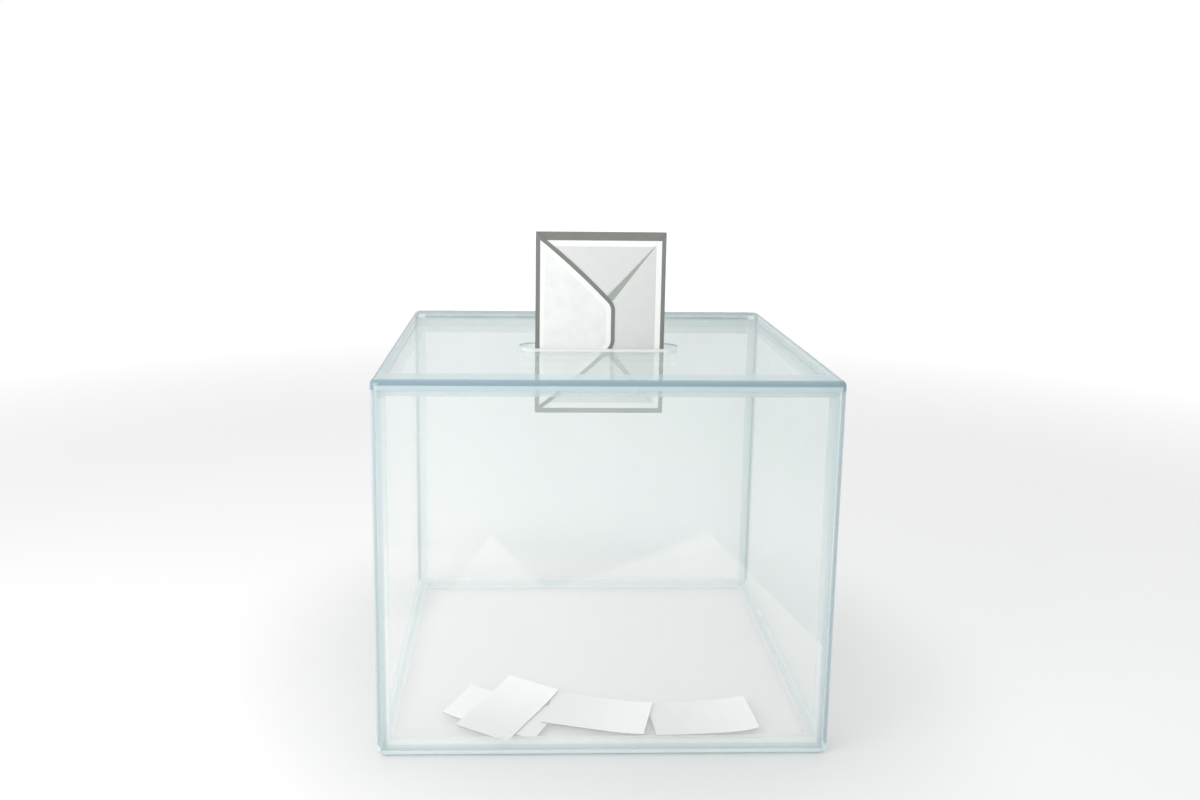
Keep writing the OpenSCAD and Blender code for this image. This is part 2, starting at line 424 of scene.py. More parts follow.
# Heights between which the sheets turn deeper in tint and more opaque towards the top, and between which
# the haze and the edges turn pale at the foot: painted light, lifting the shade that falls there
UPPER_HAZE = (150 * MM, 290 * MM)
FOOT_PAINTED_LIGHT = (14 * MM, 6 * MM)
FOOT_EDGE_PAINTED_LIGHT = (12 * MM, 7 * MM)

# How softly the deeper tint and the band inside it end
EDGE_FADE = 0.9 * MM
RIM_FADE = 0.8 * MM

# The lid's band is narrower along the sides and wider along the front, by these shares of a distance
LID_RIM_SHARES = (1.5, 0.5)

# Distances from the lid's front between which its band gets deeper, and its depth behind and added there
FRONT_DEEPENING = (55 * MM, 25 * MM)
LID_RIM_DEPTH = 0.65
FRONT_RIM_DEPTH = 0.95

# Distances from the lid's back between which its edge turns paler
BACK_PALING = (35 * MM, 15 * MM)

# A cloudy patch is paler than the sheet's own tint by this share, up to the palest tint
PALER_SHARE = 1.45
PALEST = 0.97

# How much what clouds a sheet turns it towards the paler tint, hides what lies behind it and roughens it
# Among these, the shares that turn the left side and the foot paler are painted light, and those for the
# paler areas low on the front wall are painted reflections
PALENESS = 0.2
PALER_BY = {"leftwards": 0.25, "upper": -0.25, "haze": 0.1, "wiped": 0.1, "foot": 0.5, "strokes": 0.9}
HIDDEN_BY = {"upper": 0.055, "smeared": 0.01, "wiped": 0.01, "strokes": 0.055}
ROUGHNESS = 0.05
ROUGHER_BY = {"smeared": 0.10, "scratched": 0.10, "haze": 0.02}


def clouding(board, part):
    """What clouds a clear sheet, and where light and reflections are painted on it, as masks by name."""
    low, high = closed_box()
    wiped = board.noise(scale=16.0, detail=2.0, stretch=(1, 1, 0.12), turn=(0, 0.8, 0))
    smear = board.noise(scale=26.0, detail=4.0, stretch=(1, 1, 0.35), turn=(0.3, 0.5, 0.2))
    scratch = board.noise(scale=300.0, detail=1.0, stretch=(1, 1, 0.03), turn=(0.4, 0.2, 0.9))
    return {
        "haze": board.noise(scale=7.0, detail=2.0),
        "wiped": wiped.ramp(0.45, 0.62),
        "smeared": smear.ramp(0.55, 0.75),
        "scratched": scratch.ramp(0.74, 0.80),
        "strokes": painted_reflections(part),
        # Painted light falling from the left: the sheets turn paler towards the left
        "leftwards": part["X"].ramp(high.x, low.x),
        "upper": part["Z"].ramp(*UPPER_HAZE),
        # Painted light: the haze turns paler at the foot, lifting the shade that falls there
        "foot": part["Z"].ramp(*FOOT_PAINTED_LIGHT),
    }


def summed(masks, shares, start):
    """A start and the masks that shares names, each times its share."""
    total = start
    for name, share in shares.items():
        total = total + masks[name] * share
    return total


def clear_finish(
    name, tint, edge_tint, opacity, edge_opacity, rim_tint=None, rim_opacity=0.0, on_lid=False
):
    """Milky clear acrylic, deeper in tint along the box's rounded edges, with smears and fine scratches. It
    has painted light, paler on the left and at the foot, painted reflections low on the front wall, and on
    the lid a painted highlight along the slot's front edge.
    """
    board = Board(name)
    part = board.place()
    low, high = closed_box()
    masks = clouding(board, part)
    near = nearest_edge(part)
    edge = near.ramp(sizes().edge_band, sizes().edge_band - EDGE_FADE)
    if on_lid:
        rim = nearest_edge(part, *LID_RIM_SHARES).ramp(sizes().lid_rim, sizes().lid_rim - RIM_FADE)
        in_front = part["Y"].ramp(*(low.y + distance for distance in FRONT_DEEPENING))
        depth = rim * rim_opacity * (in_front * FRONT_RIM_DEPTH + LID_RIM_DEPTH)
        towards_back = part["Y"].ramp(*(high.y - distance for distance in BACK_PALING))
        edging = board.blend(towards_back, rgba(edge_tint), rgba(rim_tint))
    else:
        rim = near.ramp(sizes().rim, sizes().rim - RIM_FADE)
        depth = rim * rim_opacity
        # Painted light: the edges turn to the paler foot tint low down, lifting the shade that falls there
        edging = board.blend(part["Z"].ramp(*FOOT_EDGE_PAINTED_LIGHT), rgba(edge_tint), rgba(colours().foot))
    pale = [min(PALEST, c * PALER_SHARE) for c in tint]
    cloudy = board.blend(summed(masks, PALER_BY, PALENESS).clamped(), rgba(tint), rgba(pale))
    rimmed = board.blend(rim, cloudy, rgba(rim_tint or tint))
    colour = board.blend(edge, rimmed, edging)
    rimmed_opacity = depth + opacity
    deeper = rimmed_opacity + edge * (edge_opacity - rimmed_opacity)
    hiding = summed(masks, HIDDEN_BY, deeper)
    if on_lid:
        wall, painted_highlight = round_slot(part)
        # Painted highlight: the slot's edge turns white along its front
        slot_tint = board.blend(painted_highlight, rgba(colours().slot), rgba(colours().ballot))
        colour = board.blend(wall, colour, slot_tint)
        hiding = hiding + wall * (painted_highlight * HIGHLIGHT_OPACITY + SLOT_OPACITY)
    passing = board.node("ShaderNodeLightPath", {}, {})["Is Shadow Ray"] * FORWARD_SCATTER
    return board.finish(
        Base_Color=colour,
        Roughness=summed(masks, ROUGHER_BY, ROUGHNESS),
        IOR=ACRYLIC_IOR,
        Alpha=hiding.clamped() * (1 - passing),
        Normal=board.bump(masks["haze"], SHEET_BUMP),
    )


# How much the slot's eased edge hides, and how much more along its front, where a white highlight is
# painted
SLOT_OPACITY = 0.45
HIGHLIGHT_OPACITY = 0.25

# How much lower the tinted edge reaches along the slot's front, where the highlight is painted, how softly
# its tint ends, and where the tint is full, as a share of the easing
HIGHLIGHT_DEPTH = 2.2 * MM
SLOT_FADE = 0.2 * MM
SLOT_FULL = 0.8


def round_slot(part):
    """Two masks: the slot's eased upper edge, and its front part, where a white highlight is painted."""
    low, high = slot_box()
    middle = (low + high) / 2
    radius = (high.y - low.y) / 2
    straight = (high.x - low.x) / 2 - radius
    across = ((part["X"] - middle.x).size() - straight).high(0)
    along = part["Y"] - middle.y
    away = (across * across + along * along).math("SQRT") - radius
    eased = sizes().slot_ease
    painted_highlight = part["Y"].ramp(middle.y, middle.y - radius / 2)
    upper = (part["Z"] + painted_highlight * HIGHLIGHT_DEPTH).ramp(high.z - eased - SLOT_FADE, high.z - eased / 2)
    return away.ramp(eased + SLOT_FADE, eased * SLOT_FULL) * upper, painted_highlight


PAPER_BUMP = 0.03 * MM
PAPER_ROUGHNESS = 0.75
BALLOT_ROUGHNESS = 0.78

# How much the fibres roughen paper, and the shares of the fibres and the mottle in its bumps
FIBRE_ROUGHNESS = 0.1
FIBRE_BUMPS = 0.6
MOTTLE_BUMPS = 0.4


def paper_grain(board, mottle, stretch, turn, roughness):
    """The roughness and the normal of uncoated paper, from its mottle and its fibres."""
    fibre = board.noise(scale=900.0, detail=2.0, stretch=stretch, turn=turn)
    bumps = fibre * FIBRE_BUMPS + mottle * MOTTLE_BUMPS
    return fibre * FIBRE_ROUGHNESS + roughness, board.bump(bumps, PAPER_BUMP)


def face_tone(board):
    return board.node("ShaderNodeAttribute", {"attribute_name": "tone"}, {})["Fac"]


def at_least(tone, level):
    """1 on the faces with this tone or a higher one."""
    return tone.ramp(level - 0.1, level - 0.09)


# Tones of the ballots' faces: from 0, clean, to a painted shade at one end, and a tone of its own for the
# painted shade on cut edges and folds
SHADED_END, SHADED_EDGE = 0.5, 1.0

# Shares of the ballots' colour where they are mottled and where shade is painted on them
BALLOT_MOTTLED = 0.965
BALLOT_SHADED = 0.80


def ballot_finish():
    """Uncoated paper, with a faint mottle and fibres, and shade painted towards one end and on the cut
    edges and fold.
    """
    board = Board("Ballot paper")
    mottle = board.noise(scale=90.0, detail=4.0)
    tone = face_tone(board)
    paper = colours().ballot
    face = board.blend(mottle.ramp(0.3, 0.7), shaded(paper, BALLOT_MOTTLED), rgba(paper))
    # Painted shade towards one end, and on the cut edges and folds
    end_shaded = board.blend(tone.ramp(0, SHADED_END), face, shaded(paper, BALLOT_SHADED))
    colour = board.blend(at_least(tone, SHADED_EDGE), end_shaded, rgba(colours().edge_shade))
    roughness, normal = paper_grain(board, mottle, (1, 0.2, 1), (0, 0, 0.7), BALLOT_ROUGHNESS)
    return board.finish(Base_Color=colour, Roughness=roughness, Normal=normal)


# Tones of the envelope's faces: the closing flap, the flaps under it, a painted highlight inside the
# closing flap's edge, a painted shadow in the gap under the right flap's edges, and a painted shadow along
# the closing flap's edge
PANEL, UNDER, EDGE_HIGHLIGHT, GAP_SHADOW, EDGE_SHADOW = 0.0, 0.2, 0.4, 0.6, 1.0
PRINT_FADE = 0.12 * MM

# Shares of the envelope's colours: at its left and at the right of the closing flap and of the flaps under
# it, which paint light falling from the left, in the margin and the painted highlight, in the mottle, and
# where the ink and the painted shadow are thin
PAINTED_LIGHT_LEFT, CLOSING_PAINTED_SHADE_RIGHT, UNDER_PAINTED_SHADE_RIGHT = 1.02, 0.97, 0.95
IN_MARGIN_AND_HIGHLIGHT, MOTTLED, THIN_INK_AND_SHADOW = 1.06, 0.85, 1.25
MOTTLE_SHOWS = 0.18


def envelope_finish():
    """The envelope's paper: printed edging, a pale margin inside it, grey panels painted lighter on the
    left, painted shadows along the flaps' edges and a painted highlight inside the closing flap's edge.
    """
    board = Board("Envelope paper")
    low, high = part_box("envelope")
    part = board.place()
    tone = face_tone(board)
    distances = (part["X"] - low.x, high.x - part["X"], high.z - part["Z"], part["Z"] - low.z)

    def outside(widths):
        """1 in the strips of these widths at the envelope's left, right, top and foot."""
        strips = [
            distance.ramp(width + PRINT_FADE, width - PRINT_FADE)
            for distance, width in zip(distances, widths)
        ]
        return strips[0].high(strips[1]).high(strips[2]).high(strips[3])

    edging = outside(sizes().edging)
    margin = outside([edge + white for edge, white in zip(sizes().edging, sizes().margin)])
    mottle = board.noise(scale=90.0, detail=4.0)
    paper = colours().paper
    white = colours().white
    edging_and_flap_shadow = colours().edging_and_flap_shadow
    across = distances[0] / (high.x - low.x)
    # Painted light falling from the left: the panels turn darker towards the right
    closing = board.blend(across, shaded(white, PAINTED_LIGHT_LEFT), shaded(white, CLOSING_PAINTED_SHADE_RIGHT))
    under = board.blend(across, shaded(paper, PAINTED_LIGHT_LEFT), shaded(paper, UNDER_PAINTED_SHADE_RIGHT))
    panel = board.blend(at_least(tone, UNDER), closing, under)
    marked = board.blend(mottle.ramp(0.35, 0.7) * MOTTLE_SHOWS, panel, shaded(paper, MOTTLED))
    # The margin, and the painted highlight inside the closing flap's edge
    margin_and_highlight = margin.high(at_least(tone, EDGE_HIGHLIGHT) - at_least(tone, GAP_SHADOW))
    margined_and_highlighted = board.blend(margin_and_highlight, marked, shaded(white, IN_MARGIN_AND_HIGHLIGHT))
    # Painted shadow in the gap under the right flap's edges
    gap_shadowed = board.blend(at_least(tone, GAP_SHADOW), margined_and_highlighted, rgba(colours().gap_shadow))
    inked_and_shadowed = board.blend(mottle * 0.5, rgba(edging_and_flap_shadow), shaded(edging_and_flap_shadow, THIN_INK_AND_SHADOW))
    # The printed edging, and the painted shadow along the closing flap's edge
    colour = board.blend(edging.high(at_least(tone, EDGE_SHADOW)), gap_shadowed, inked_and_shadowed)
    roughness, normal = paper_grain(board, mottle, (0.25, 1, 1), (0, 0.6, 0), PAPER_ROUGHNESS)
    return board.finish(Base_Color=colour, Roughness=roughness, Normal=normal)


# Two points this close count as one, and a point this close to a cut lies on it
SAME_PLACE = 1e-6
ON_CUT = 1e-8


def block(low, high):
    """A plain block between two corners."""
    bm = bmesh.new()
    bmesh.ops.create_cube(bm, size=1)
    bmesh.ops.scale(bm, vec=high - low, verts=bm.verts)
    bmesh.ops.translate(bm, vec=(low + high) / 2, verts=bm.verts)
    return bm


def everything(bm):
    return bm.verts[:] + bm.edges[:] + bm.faces[:]


def edges_of(geometry):
    return [g for g in geometry if isinstance(g, bmesh.types.BMEdge)]


def rounded(bm, geometry, radius, segments, affect="EDGES"):
    """Rounds edges, or the corners of a flat face with affect as VERTICES."""
    bmesh.ops.bevel(
        bm,
        geom=geometry,
        offset=radius,
        offset_type="OFFSET",
        segments=segments,
        profile=0.5,
        affect=affect,
        material=-1,
    )


def upright(edge):
    a, b = (v.co for v in edge.verts)
    return abs(a.z - b.z) > max(abs(a.x - b.x), abs(a.y - b.y))


def level(part, z):
    """Whether all of an edge's or a face's corners are at a height."""
    return all(abs(v.co.z - z) < SAME_PLACE for v in part.verts)


def trim(bm, point, normal):
    """Cuts away what lies beyond a plane, and closes the cut."""
    cut = bmesh.ops.bisect_plane(
        bm, geom=everything(bm), dist=ON_CUT, plane_co=point, plane_no=normal, clear_outer=True
    )
    bmesh.ops.holes_fill(bm, edges=edges_of(cut["geom_cut"]), sides=0)


def mitred(bm, low, high, outward, neighbours, thickness):
    """Keeps the layer of a block that lies behind its face outward, mitred towards its neighbours."""
    middle = (low + high) / 2
    half = (high - low) / 2
    face = middle + outward * abs(half.dot(outward))
    trim(bm, face - outward * thickness, -outward)
    for neighbour in neighbours:
        corner = face + neighbour * abs(half.dot(neighbour))
        normal = (neighbour - outward).normalized()
        trim(bm, corner - normal * sizes().bond_gap / 2, normal)
    return bm


def piece(name, bm, material, body, nodes, sharp=35):
    """Makes an object of a bmesh, which rides on a body and stands for CAD nodes, if any."""
    bmesh.ops.recalc_face_normals(bm, faces=bm.faces)
    mesh = bpy.data.meshes.new(name)
    bm.to_mesh(mesh)
    bm.free()
    mesh.materials.append(material)
    mesh.shade_smooth()
    mesh.set_sharp_from_angle(angle=math.radians(sharp))
    obj = bpy.data.objects.new(name, mesh)
    bpy.context.scene.collection.objects.link(obj)
    even = obj.modifiers.new("Even shading", "WEIGHTED_NORMAL")
    even.keep_sharp = True
    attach(obj, body)
    if nodes:
        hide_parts(*nodes)


# Light of the pale room on the box, and its brightness where it is seen
ROOM_LIGHT = 0.70
ROOM_SEEN = 1.0

# The pale floor lies this much above the box's underside, so that the two faces don't coincide
FLOOR_OVERLAP = 0.05 * MM
FLOOR_RADIUS = 30
FLOOR_GREY = 0.74

# Grey levels of the floor's glow close to the box, around it and far from it, and where they change
GLOW_CLOSE, GLOW_AROUND, GLOW_FAR = 0.02, 0.17, 0.56
CLOSE_TO_AROUND = (0.18, 0.42)
AROUND_TO_FAR = (0.8, 2.4)

# Name, place, width, power and colour of each lamp, and the point that they face
LAMPS = (
    ("Key softbox", (-0.85, -0.75, 0.75), 0.7, 7.5, (1, 0.99, 0.975)),
    ("Fill softbox", (1.2, -0.8, 0.7), 1.0, 1, (0.6, 1, 0.95)),
    ("Top softbox", (0.1, 0.5, 2.0), 1.6, 9, (1, 1, 1)),
)
LAMPS_FACE = Vector((0, 0, 0.15))


class BALLOTBOX_OT_stage(bpy.types.Operator):
    """Pale floor, soft lights and the camera"""

    bl_idname = "ballotbox.stage"
    bl_label = "Stage"

    def execute(self, context):
        self.make_world(context)
        self.make_floor(context)
        self.make_lights(context)
        self.make_camera(context)
        return {"FINISHED"}

    def make_world(self, context):
        world = bpy.data.worlds.new("Pale room")
        world.use_nodes = True
        tree = world.node_tree
        background = tree.nodes["Background"]
        seen = tree.nodes.new("ShaderNodeLightPath")
        strength = tree.nodes.new("ShaderNodeMapRange")
        strength.inputs["To Min"].default_value = ROOM_LIGHT
        strength.inputs["To Max"].default_value = ROOM_SEEN
        tree.links.new(seen.outputs["Is Camera Ray"], strength.inputs["Value"])
        tree.links.new(strength.outputs["Result"], background.inputs["Strength"])
        background.inputs["Color"].default_value = (1, 1, 1, 1)
        context.scene.world = world
        context.scene.view_settings.view_transform = "Standard"
        context.scene.cycles.transparent_max_bounces = 48

    def make_floor(self, context):
        bm = bmesh.new()
        bmesh.ops.create_circle(bm, cap_ends=True, segments=96, radius=FLOOR_RADIUS)
        bmesh.ops.translate(bm, vec=UP * FLOOR_OVERLAP, verts=bm.verts)
        mesh = bpy.data.meshes.new("Floor")
        bm.to_mesh(mesh)
        bm.free()
        floor = bpy.data.objects.new("Floor", mesh)
        context.scene.collection.objects.link(floor)
        board = Board("Pale floor")
        part = board.place()
        away = (part["X"] * part["X"] + part["Y"] * part["Y"]).math("SQRT")
        near = board.blend(away.ramp(*CLOSE_TO_AROUND), grey(GLOW_CLOSE), grey(GLOW_AROUND))
        glow = board.blend(away.ramp(*AROUND_TO_FAR), near, grey(GLOW_FAR))
        finish = board.finish(
            Base_Color=grey(FLOOR_GREY), Roughness=0.7, Emission_Color=glow, Emission_Strength=1.0
        )
        mesh.materials.append(finish)
        floor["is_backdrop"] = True

    def make_lights(self, context):
        for name, place, width, power, colour in LAMPS:
            lamp = bpy.data.lights.new(name, "AREA")
            lamp.shape = "SQUARE"
            lamp.size = width
            lamp.energy = power
            lamp.color = colour
            obj = bpy.data.objects.new(name, lamp)
            obj.location = place
            obj.rotation_euler = (Vector(place) - LAMPS_FACE).to_track_quat("Z", "Y").to_euler()
            context.scene.collection.objects.link(obj)

    def make_camera(self, context):
        stage = context.scene.ballot_box_stage
        data = bpy.data.cameras.new("Camera")
        data.sensor_width = 36
        data.lens = stage.focal_pixels * data.sensor_width / PHOTO_WIDTH
        data.shift_x = -stage.shift_pixels[0] / PHOTO_WIDTH
        data.shift_y = stage.shift_pixels[1] / PHOTO_WIDTH
        camera = bpy.data.objects.new("Camera", data)
        turn = Matrix.Rotation(-stage.camera_turn, 4, "Z")
        look = Matrix.Rotation(math.pi / 2 - stage.camera_down, 4, "X")
        tilt = Matrix.Rotation(-stage.camera_tilt, 4, "Z")
        camera.matrix_world = Matrix.Translation(stage.camera_place) @ turn @ look @ tilt
        context.scene.collection.objects.link(camera)
        context.scene.camera = camera


# The way each sheet faces, and the ways in which it meets a neighbour
SHEETS = {
    "floor_panel": (DOWN, (LEFT, RIGHT, FRONT, BACK)),
    "front_panel": (FRONT, (LEFT, RIGHT, DOWN)),
    "back_panel": (BACK, (LEFT, RIGHT, DOWN)),
    "left_panel": (LEFT, (FRONT, BACK, DOWN)),
    "right_panel": (RIGHT, (FRONT, BACK, DOWN)),
}


class BALLOTBOX_OT_sheets(bpy.types.Operator):
    """The four walls and the floor, each a clear sheet mitred to its neighbours"""

    bl_idname = "ballotbox.sheets"
    bl_label = "Walls and floor"

    def execute(self, context):
        tints = colours()
        edges = (tints.edge_opacity, tints.rod, tints.rim_opacity)
        wall = clear_finish("Clear sheet", tints.sheet, tints.wall_edge, tints.sheet_opacity, *edges)
        base = clear_finish("Clear floor sheet", tints.floor, tints.wall_edge, tints.floor_opacity, *edges)
        low, high = low_high(*SHEETS)
        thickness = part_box("floor_panel")[1].z
        for node, (outward, neighbours) in SHEETS.items():
            bm = block(low, high)
            lower = [e for e in bm.edges if upright(e) or level(e, low.z)]
            rounded(bm, lower, sizes().corner_radius, segments=10)
            mitred(bm, low, high, outward, neighbours, thickness)
            piece(node + "_sheet", bm, base if outward == DOWN else wall, "base", [node])
        return {"FINISHED"}


class BALLOTBOX_OT_rods(bpy.types.Operator):
    """The square rods bonded into the corners, along the floor and under the lid"""

    bl_idname = "ballotbox.rods"
    bl_label = "Rods"

    def execute(self, context):
        tints = colours()
        rod = plain_clear("Clear rod", tints.rod, tints.rod_opacity)
        self.corner_rods(rod)
        self.frame_of_rods("floor_strip_", "base", rod, rod)
        fainter = plain_clear("Clear lid strip", tints.rod, tints.lid_rod_opacity)
        front = plain_clear("Clear front lid strip", tints.rod, tints.front_rod_opacity)
        self.frame_of_rods("lid_strip_", "lid", front, fainter)
        return {"FINISHED"}

    def corner_rods(self, material):
        for side in ("front_left", "front_right", "back_left", "back_right"):
            node = "corner_strip_" + side
            bm = block(*within_glue(*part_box(node)))
            rounded(bm, bm.edges[:], sizes().rod_edge, segments=2)
            piece(node + "_rod", bm, material, "base", [node])

    def frame_of_rods(self, start, body, front_material, other_material):
        """Four rods in a frame, mitred to each other."""
        names = [start + side for side in ("front", "back", "left", "right")]
        low, high = within_glue(*low_high(*names))
        front_low, front_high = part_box(names[0])
        width = front_high.y - front_low.y - sizes().bond_gap
        for name, outward in zip(names, (FRONT, BACK, LEFT, RIGHT)):
            neighbours = (LEFT, RIGHT) if outward in (FRONT, BACK) else (FRONT, BACK)
            bm = mitred(block(low, high), low, high, outward, neighbours, width)
            rounded(bm, bm.edges[:], sizes().rod_edge, segments=2)
            material = front_material if outward == FRONT else other_material
            piece(name + "_rod", bm, material, body, [name])


def plain_clear(name, tint, opacity):
    """A clear finish of one tint and opacity, also along its edges."""
    return clear_finish(name, tint, tint, opacity, opacity)


def within_glue(low, high):
    """The corners of a box, moved inwards by the glue line."""
    gap = Vector((1, 1, 1)) * sizes().bond_gap
    return low + gap, high - gap


# Points round each ring of the slot's wall, and steps in the rounding of its edges
SLOT_POINTS = 64
EASE_STEPS = 4

# The slot lies further in from the lid's edge than its rounded corners and this margin
LID_MARGIN = 10 * MM


class BALLOTBOX_OT_lid(bpy.types.Operator):
    """The lid, with rounded edges and an eased slot"""

    bl_idname = "ballotbox.lid"
    bl_label = "Lid"

    def execute(self, context):
        tints = colours()
        edges = (tints.lid_edge_opacity, tints.rim, tints.lid_rim_opacity)
        material = clear_finish(
            "Clear lid", tints.sheet, tints.edge, tints.lid_opacity, *edges, on_lid=True
        )
        low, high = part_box("lid_panel")
        low.z += sizes().bond_gap
        bm = block(low, high)
        rounded(bm, [e for e in bm.edges if upright(e)], sizes().corner_radius, segments=10)
        rounded(bm, [e for e in bm.edges if level(e, high.z)], sizes().lid_edge_radius, segments=8)
        self.cut_slot(bm, low.z, high.z)
        piece("lid_sheet", bm, material, "lid", ["lid_panel"])
        return {"FINISHED"}

    def cut_slot(self, bm, bottom, top):
        """Opens the lid's two flat faces and joins them by the slot's wall."""
        rims = []
        for z in (bottom, top):
            flat = max((f for f in bm.faces if level(f, z)), key=lambda f: f.calc_area())
            rims.append(list(flat.edges))
            bmesh.ops.delete(bm, geom=[flat], context="FACES_ONLY")
        ease = sizes().slot_ease
        profile = []
        for i in range(EASE_STEPS + 1):
            angle = math.pi / 2 * i / EASE_STEPS
            profile.append((ease * (1 - math.sin(angle)), top - ease * (1 - math.cos(angle))))
        profile += [(out, bottom + top - z) for out, z in reversed(profile)]
        rings = [self.slot_ring(bm, out, z) for out, z in profile]
        for upper, lower in zip(rings, rings[1:]):
            bmesh.ops.bridge_loops(bm, edges=upper + lower)
        for rim, ring in ((rims[1], rings[0]), (rims[0], rings[-1])):
            bmesh.ops.triangle_fill(bm, use_beauty=True, use_dissolve=False, edges=rim + ring)

    def slot_ring(self, bm, outwards, z):
        """The slot's outline, moved outwards, at a height."""
        low, high = slot_box()
        radius = (high.y - low.y) / 2
        straight = (high.x - low.x) / 2 - radius
        spin = Matrix.Rotation(math.pi / SLOT_POINTS, 4, "Z")
        made = bmesh.ops.create_circle(bm, segments=SLOT_POINTS, radius=radius + outwards, matrix=spin)
        verts = made["verts"]
        for vert in verts:
            vert.co.x += straight if vert.co.x > 0 else -straight
            vert.co.y += (low.y + high.y) / 2
            vert.co.z = z
        return list({e for v in verts for e in v.link_edges})


def slot_box():
    """Lowest and highest corner of the slot, read from the lid's CAD node."""
    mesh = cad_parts["lid_panel"].data
    low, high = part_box("lid_panel")
    margin = sizes().corner_radius + LID_MARGIN
    inside = [
        v.co
        for v in mesh.vertices
        if low.x + margin < v.co.x < high.x - margin and low.y + margin < v.co.y < high.y - margin
    ]
    return (
        Vector((min(v.x for v in inside), min(v.y for v in inside), low.z)),
        Vector((max(v.x for v in inside), max(v.y for v in inside), high.z)),
    )


# Neighbouring faces of the hinge at less than this angle are one flat face
FLAT_ANGLE = math.radians(0.5)


class BALLOTBOX_OT_hinge(bpy.types.Operator):
    """The clear hinge along the back: two leaves and the pin"""

    bl_idname = "ballotbox.hinge"
    bl_label = "Hinge"

    def execute(self, context):
        tints = colours()
        clear = plain_clear("Clear hinge", tints.rod, tints.hinge_opacity)
        pin = plain_clear("Hinge pin", tints.edge, tints.pin_opacity)
        for node, body, material, slot in (
            ("hinge_wall_leaf", "base", clear, "hinge_clear"),
            ("hinge_lid_leaf", "lid", clear, "hinge_clear"),
            ("hinge_pin", "base", pin, "pin_clear"),
        ):
            bm = bmesh.new()
            bm.from_mesh(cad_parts[node].data)
            bmesh.ops.remove_doubles(bm, verts=bm.verts, dist=SAME_PLACE)
            bmesh.ops.dissolve_limit(bm, angle_limit=FLAT_ANGLE, verts=bm.verts, edges=bm.edges)
            piece(node + "_moulding", bm, material, body, [node])
        return {"FINISHED"}


# The body's middle plane lies this far behind the envelope's front, and its half thickness grows from
# its edges to its middle. It starts as a block with a half thickness of its own
BODY_DEPTH = 1.6 * MM
BODY_EDGE = 0.25 * MM
BODY_SWELLING = 0.5 * MM
BODY_BLOCK = 0.3 * MM
BODY_CORNER = 1.5 * MM
BODY_RIM = 0.12 * MM
BODY_GRID = 8 * MM

# The flaps meet this far below the envelope's middle
FLAPS_DROP = 1.7 * MM

# Distance of the upper and the lower flap's tip from there, the right flap's blunt tip, and the gap
# between its sides and the envelope's corners
FLAP_GAP = 20 * MM
RIGHT_TIP = (4 * MM, 14.6 * MM)
RIGHT_GAP = 0.8 * MM
FLAP_CORNER = 10 * MM

# The closing flap's blunt tip, the rounding of its corners, and how far its slanted edges bend outwards
CLOSING_TIP = (13 * MM, 18.8 * MM)
CLOSING_CORNER = 5 * MM
BULGE = 2 * MM
BULGE_REACH = 30 * MM

# Corners of the upper strip of painted shadow under the right flap's edge, across and up from where the
# flaps meet
GAP_SHADOW_CORNERS = ((48 * MM, 71 * MM), (7.2 * MM, 27.2 * MM), (4 * MM, 22 * MM), (11.5 * MM, 22.6 * MM))

# Layers of paper on the body: the upper and lower flaps, the right flap, the strip of painted shadow and
# the closing flap
FLAP_LAYER, RIGHT_LAYER, GAP_SHADOW_LAYER, CLOSING_LAYER = 1, 2, 2.15, 3.2
LAYER_GAP = 0.02 * MM
FLAP_GRID = 6 * MM


